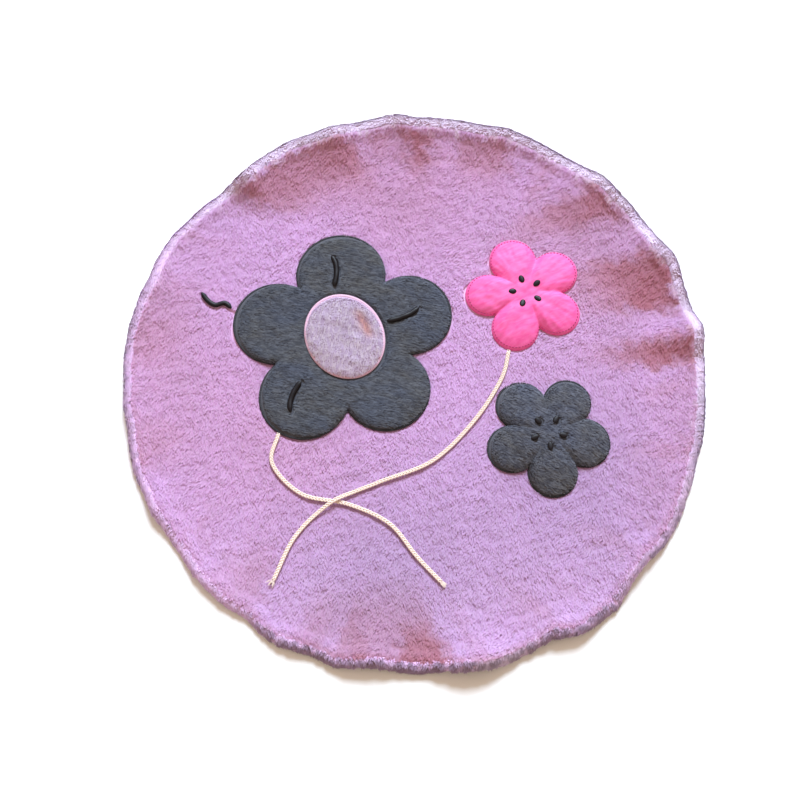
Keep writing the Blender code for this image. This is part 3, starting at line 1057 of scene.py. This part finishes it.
def fray(name, end, along, material):
    """Loose threads at the cut end of a cord."""
    rng = np.random.default_rng(len(name))
    count = 26
    sideways = np.cross(UP, along)
    roots = end - along * 2 * MM + sideways * rng.uniform(-2.2, 2.2, (count, 1)) * MM
    spread = rng.normal(0, 0.26, (count, 1))
    droop = rng.uniform(-0.18, 0.1, (count, 1))
    directions = unit(along + sideways * spread + UP * droop)
    normals = np.tile(UP, (count, 1))
    threads = Pile(1, 10, 0.9, 0, 0, 0, 55)
    tufts(name, threads, roots, normals, directions, material, "cream_cord")


# The pile where it stands


def clear_of_patches(x, y):
    """Where no patch covers the ground.

    Above a patch, where the nap leans over its edge, the pile keeps a little off it.
    """
    clear = np.ones(np.shape(x), bool)
    for patch in (LARGE_FLOWER, SMALL_FLOWER, PINK_FLOWER):
        above = eased((y / MM - patch.middle_mm[1] + 30) / 40)
        clear &= share_of(patch, x, y) > 1.0 + 0.055 * above
    return clear


def ground_roots(tendril):
    """Where the ground's tufts stand: within the hem, and clear of the patches and the tendril."""
    x, y = scattered(GROUND_PILE, (-GROUND_SPREAD, -GROUND_SPREAD), (GROUND_SPREAD, GROUND_SPREAD))
    angles, radius = polar(x, y)
    inner = ROLL_HALF_WIDTH - CORE_HALF_WIDTH * math.cos(math.radians(ROLL_TURN_DEG))
    kept = (radius < rim_radius(angles) - inner) & clear_of_patches(x, y)
    kept &= distance_to(tendril, x, y) > TENDRIL_GAP
    return x[kept], y[kept]


def ground_pile(material, tendril, cords):
    """The ground's pile in four parts: pressed along the cords, with a painted highlight next to the hem
    and painted shade in its hollows.
    """
    x, y = ground_roots(tendril)
    roots = np.column_stack([x, y, ground_height(x, y)])
    normals = normals_of(ground_height, x, y)
    directions = nap_directions(GROUND_PILE, roots, normals, np.random.default_rng(5))
    pressed = 0.55 + 0.45 * eased((distance_to(cords, x, y) - 1.5 * MM) / (3.5 * MM))
    angles, radius = polar(x, y)
    ragged = 2.5 * ripples(x, y, 0.011, 74) + 2 * ripples(x, y, 0.04, 75)
    beyond = (radius - rim_radius(angles) + (21 + ragged) * MM) / (13 * MM)
    # Painted light and shade: a painted highlight next to the hem, a painted sheen on the near side, and
    # painted shade in the hollows and in the dimmer places.
    marks = (
        ("rim", np.maximum(hem_painted_highlight(angles) * eased(beyond), near_side_painted_sheen(x, y))),
        ("deep", painted_shade_depth(x, y)),
        ("dim", toned(DIM_SHADE_PLACES, x, y)),
    )
    pieces = []
    for number in range(4):
        part = (angles // 90).astype(int) == number
        name = f"ground_pile_{number + 1}"
        form = roots[part], normals[part], directions[part]
        looks = [(mark, values[part]) for mark, values in marks]
        lifting = GROUND_LIFTING * UP
        pieces.append(
            tufts(name, GROUND_PILE, *form, material, "pink_plush", pressed[part], looks, lifting)
        )
    return pieces


def patch_roots(patch, pile, veins):
    """Where a patch's tufts stand: within its seam, and clear of what is sewn on it."""
    centre = middle_of(patch)
    x, y = scattered(pile, centre - PATCH_SPREAD, centre + PATCH_SPREAD)
    kept = share_of(patch, x, y) < 0.94
    if patch is LARGE_FLOWER:
        kept &= share_of(PALE_CENTRE, x, y) > 1.12
        kept &= distance_to(veins, x, y) > VEIN_GAP
    if patch is SMALL_FLOWER:
        kept &= distance_to(seed_places(patch, GREY_SEED_RING_MM), x, y) > SEED_GAP
    return x[kept], y[kept]


def patch_pile(patch, pile, material, slot, height, veins):
    """The pile of one patch."""
    x, y = patch_roots(patch, pile, veins)
    roots = np.column_stack([x, y, height(x, y)])
    normals = normals_of(height, x, y)
    directions = nap_directions(pile, roots, normals, np.random.default_rng(6))
    # The crease on the pale patch gets painted shade.
    marks = (("deep", pale_crease(x, y)),) if patch is PALE_CENTRE else ()
    name = patch.name + "_pile"
    tufts(name, pile, roots, normals, directions, material, slot, marks=marks)


def hem_pile(material):
    """Pile all round the rolled hem, pointing out from it."""
    rng = np.random.default_rng(HEM_PILE.seed)
    columns = int(2 * math.pi * RUG_RADIUS / MM / HEM_PILE.spacing_mm)
    rows = int(HEM_ARC_MM / HEM_PILE.spacing_mm)
    column, row = np.meshgrid(np.arange(columns), np.arange(rows))
    column = (column + row % 2 / 2 + rng.uniform(-0.4, 0.4, column.shape)).ravel()
    row = (row + rng.uniform(0.1, 0.9, row.shape)).ravel()
    angles = column * 360 / columns % 360
    turns = HEM_FROM_DEG + row * (ROLL_TURN_DEG + 4 - HEM_FROM_DEG) / rows
    roots = hem_point(angles, turns)
    further = hem_point(angles, turns, 1 * MM)
    normals = unit(further - roots)
    over = unit(hem_point(angles, turns + 1) - hem_point(angles, turns - 1))
    directions = nap_directions(HEM_PILE, roots, normals, rng, over)
    # Painted highlight on the hem's pile, fading on the inner side of the roll.
    painted_highlight = hem_painted_highlight(angles) * (1 - 0.55 * eased((turns - 70) / 45))
    # Painted shade on the hem's fuzz, which also grows longer where it is darker.
    depth = around(HEM_FUZZ_AND_SHADE, angles)[0]
    clumps = 1 + 0.3 * ripples(roots[:, 0], roots[:, 1], 0.012, 73)
    ragged = 16 * ripples(roots[:, 0], roots[:, 1], 0.016, 78)
    deep = np.clip(depth * clumps, 0, 1) * (1 - eased((turns - 80 + ragged) / 40))
    marks = (("rim", painted_highlight), ("deep", deep))
    open_way = unit(unit(roots * (1, 1, 0)) * HEM_OPENING + UP)
    lifting = open_way * (HEM_LIFTING * painted_highlight)[:, None]
    form = roots, normals, directions
    return tufts("hem_pile", HEM_PILE, *form, material, "pink_plush", 1 + 0.8 * deep, marks, lifting)


# The scene around the rug


def add_camera():
    data = bpy.data.cameras.new("camera")
    data.lens = CAMERA_LENS
    data.sensor_width = CAMERA_SENSOR
    camera = bpy.data.objects.new("camera", data)
    camera.location = CAMERA_PLACE
    camera.rotation_euler = (math.radians(CAMERA_TILT_DEG), 0, 0)
    bpy.context.scene.collection.objects.link(camera)
    bpy.context.scene.camera = camera


def add_light():
    """A broad, low key light from behind, and a dim warm fill from all round."""
    data = bpy.data.lights.new("key", "SUN")
    data.energy = KEY_STRENGTH
    data.color = KEY_COLOUR
    data.angle = math.radians(KEY_SPREAD_DEG)
    key = bpy.data.objects.new("key", data)
    turn = math.radians(KEY_AZIMUTH_DEG)
    key.rotation_euler = (0, math.radians(90 - KEY_HEIGHT_DEG), turn)
    bpy.context.scene.collection.objects.link(key)
    world = bpy.data.worlds.new("fill")
    world.use_nodes = True
    background = world.node_tree.nodes["Background"]
    background.inputs["Color"].default_value = (*FILL_COLOUR, 1)
    background.inputs["Strength"].default_value = FILL_STRENGTH
    bpy.context.scene.world = world
    bpy.context.scene.view_settings.view_transform = "Standard"


def add_floor():
    nodes = Nodes("pale_floor")
    tone = nodes.noise((3, 3, 3), detail=2)
    lighter = tuple(value + 0.01 for value in FLOOR_COLOUR)
    nodes.colour(nodes.mix(tone, FLOOR_COLOUR, lighter))
    nodes.set(Roughness=0.9, Specular_IOR_Level=0.1)
    half = FLOOR_SIZE / 2
    corners = [(-half, -half), (half, -half), (half, half), (-half, half)]
    mesh = mesh_of("floor", [(x, y, -FLOOR_DROP) for x, y in corners], [(0, 1, 2, 3)])
    new_object("floor", mesh, [nodes.material])


# Putting it together


def pile_materials():
    """The plush of each piece: the colour of its roots, darkened as painted shade between the tufts, of
    its tips and of its light streaks.
    """
    return {
        "ground": pile_material(
            "pink_plush_pile",
            (0.80, 0.50, 0.81), (0.86, 0.57, 0.90), (0.92, 0.67, 0.97),
            GROUND_PILE.nap_deg,
            # A painted highlight for the rim, and painted shade: warm in the hollows, plain where dimmer.
            rim=PAINTED_RIM_HIGHLIGHT,
            painted_shade=(0.79, 0.51, 0.45),
            dim=(0.72, 0.76, 0.78),
        ),
        "hem": pile_material(
            "pink_plush_rim",
            (0.68, 0.41, 0.68), (0.78, 0.50, 0.82), (0.84, 0.59, 0.88),
            HEM_PILE.nap_deg,
            # A painted highlight on the roll, and dark painted shade on its fuzzy near side.
            rim=PAINTED_RIM_HIGHLIGHT,
            painted_shade=(0.35, 0.35, 0.33),
            glow=0,
        ),
        LARGE_FLOWER.name: pile_material(
            "grey_plush_pile",
            (0.105, 0.11, 0.14), (0.135, 0.143, 0.185), (0.25, 0.263, 0.325),
            GREY_PILE.nap_deg,
            tints=GREY_TINTS,
        ),
        SMALL_FLOWER.name: pile_material(
            "grey_plush_pile_small",
            (0.11, 0.113, 0.147), (0.145, 0.148, 0.195), (0.29, 0.295, 0.36),
            SMALL_GREY_PILE.nap_deg,
            tints=GREY_TINTS,
        ),
        PALE_CENTRE.name: pile_material(
            "pale_plush_pile",
            (0.62, 0.44, 0.66), (0.82, 0.70, 0.90), (0.98, 0.93, 1.0),
            PALE_PILE.nap_deg,
            # Warm painted shade in the pale patch's crease.
            painted_shade=(0.97, 0.68, 0.58),
        ),
    }


def thread_materials():
    """The threads by their colours, and the cords' braid."""
    return {
        "black": thread_material("black_thread", (0.002, 0.001, 0.002), (0.012, 0.008, 0.012), 0.45, 0),
        "grey": thread_material("grey_thread", (0.014, 0.014, 0.018), (0.045, 0.046, 0.056), 0.6, 0),
        "rose": thread_material("rose_thread", (0.62, 0.36, 0.50), (0.82, 0.55, 0.70)),
        "bright": thread_material("bright_pink_thread", (0.42, 0.03, 0.15), (0.6, 0.07, 0.27)),
        "cream": thread_material("cream_braid", (0.76, 0.60, 0.51), (0.95, 0.83, 0.74), 0.8),
    }


def lay_cloth():
    """The rug's cloth, in place of the ground's solid."""
    plush = under_pile("pink_cloth", (0.72, 0.42, 0.66), (0.85, 0.55, 0.8))
    knit = knit_material("knitted_back", (0.5, 0.27, 0.46), (0.72, 0.47, 0.68))
    cloth = rug_cloth(plush, knit)
    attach(cloth, "root")
    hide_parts("plush_ground")
    return cloth


def pad_patches():
    """The four padded patches, and the height of each one's upper side by its name."""
    grey = under_pile("grey_cloth", (0.06, 0.062, 0.078), (0.10, 0.104, 0.125))
    pale = under_pile("pale_cloth", (0.45, 0.28, 0.42), (0.6, 0.42, 0.58))
    fleece = fleece_material("pink_fleece_knit", (0.84, 0.09, 0.34), (0.94, 0.165, 0.46))
    tops = {}
    for patch, relief, material, fill, slot in (
        (LARGE_FLOWER, large_relief, grey, 0.35, "grey_plush"),
        (SMALL_FLOWER, small_relief, grey, 0.7, "grey_plush"),
        (PINK_FLOWER, pink_relief, fleece, 0.75, "pink_fleece"),
        (PALE_CENTRE, pale_relief, pale, 0.5, "pale_plush"),
    ):
        tops[patch.name] = padded_patch(patch, relief, material, fill, slot)
    return tops


def lay_cords(material):
    """Both cords, the long one raised where it crosses the short one, and points along them."""
    long_path = smooth_route(LONG_CORD_MM, 1 * MM)
    short_path = smooth_route(SHORT_CORD_MM, 1 * MM)
    apart = np.linalg.norm(long_path[:, None] - short_path[None], axis=2)
    i, j = np.unravel_index(apart.argmin(), apart.shape)
    crossing = (long_path[i] + short_path[j]) / 2
    away = np.linalg.norm(long_path - crossing, axis=1)
    hump = (1 + np.cos(np.pi * np.minimum(away / HUMP_LENGTH, 1))) / 2 * HUMP_HEIGHT
    braid("cord_long_braid", "cord_long", long_path, hump, material)
    braid("cord_short_braid", "cord_short", short_path, 0 * short_path[:, 0], material)
    return np.vstack([long_path[::3], short_path[::3]])


def sew_edges(tops, threads):
    """Satin round the plush patches, and running stitches round the smooth one."""
    for patch, thread, width_mm in (
        (LARGE_FLOWER, "grey", 3.8),
        (SMALL_FLOWER, "grey", 3.4),
        (PALE_CENTRE, "rose", 4.8),
    ):
        path = outline_path(patch, 0.995, 0.6 * MM)
        name = patch.name + "_edge"
        top = tops[patch.name]
        closed_satin(name, path, width_mm * MM, 1.3 * MM, top, threads[thread], 2.4 * MM)
    path = outline_path(PINK_FLOWER, 0.955, 0.5 * MM)
    top = tops[PINK_FLOWER.name]
    sizes = np.array([2.8, 1.8, 1.3, 0.9]) * MM
    running_stitches("pink_flower_edge", path, top, *sizes, threads["bright"])


def embroider(tops, tendril, veins, black):
    """The black stitching: the tendril, the petals' veins and the seeds."""
    large = tops[LARGE_FLOWER.name]
    satin("tendril", tendril, 7.0 * MM, 2.2 * MM, lambda x, y: ground_height(x, y) + 3.4 * MM, black)
    for number, vein in enumerate(veins):
        name = f"petal_vein_{number + 1}"
        satin(name, vein, 7.2 * MM, 2.4 * MM, lambda x, y: large(x, y) + 2.2 * MM, black)
    seeds("pink_seeds", PINK_FLOWER, PINK_SEED_RING_MM, tops[PINK_FLOWER.name], 0.2 * MM, black)
    seeds("grey_seeds", SMALL_FLOWER, GREY_SEED_RING_MM, tops[SMALL_FLOWER.name], 3.2 * MM, black)


def main():
    add_camera()
    add_light()
    add_floor()
    piles = pile_materials()
    threads = thread_materials()
    cloth = lay_cloth()
    tops = pad_patches()
    cords = lay_cords(threads["cream"])
    tendril = smooth_route(TENDRIL_MM, 0.45 * MM)
    veins = [smooth_route(points, 0.45 * MM) for points in PETAL_VEINS_MM]
    with_cloth = ground_pile(piles["ground"], tendril, cords)
    with_cloth.append(hem_pile(piles["hem"]))
    for patch, pile, slot in (
        (LARGE_FLOWER, GREY_PILE, "grey_plush"),
        (SMALL_FLOWER, SMALL_GREY_PILE, "grey_plush"),
        (PALE_CENTRE, PALE_PILE, "pale_plush"),
    ):
        patch_pile(patch, pile, piles[patch.name], slot, tops[patch.name], np.vstack(veins))
    sew_edges(tops, threads)
    back_stitching(threads["grey"], threads["bright"], threads["rose"])
    embroider(tops, tendril, veins, threads["black"])


main()
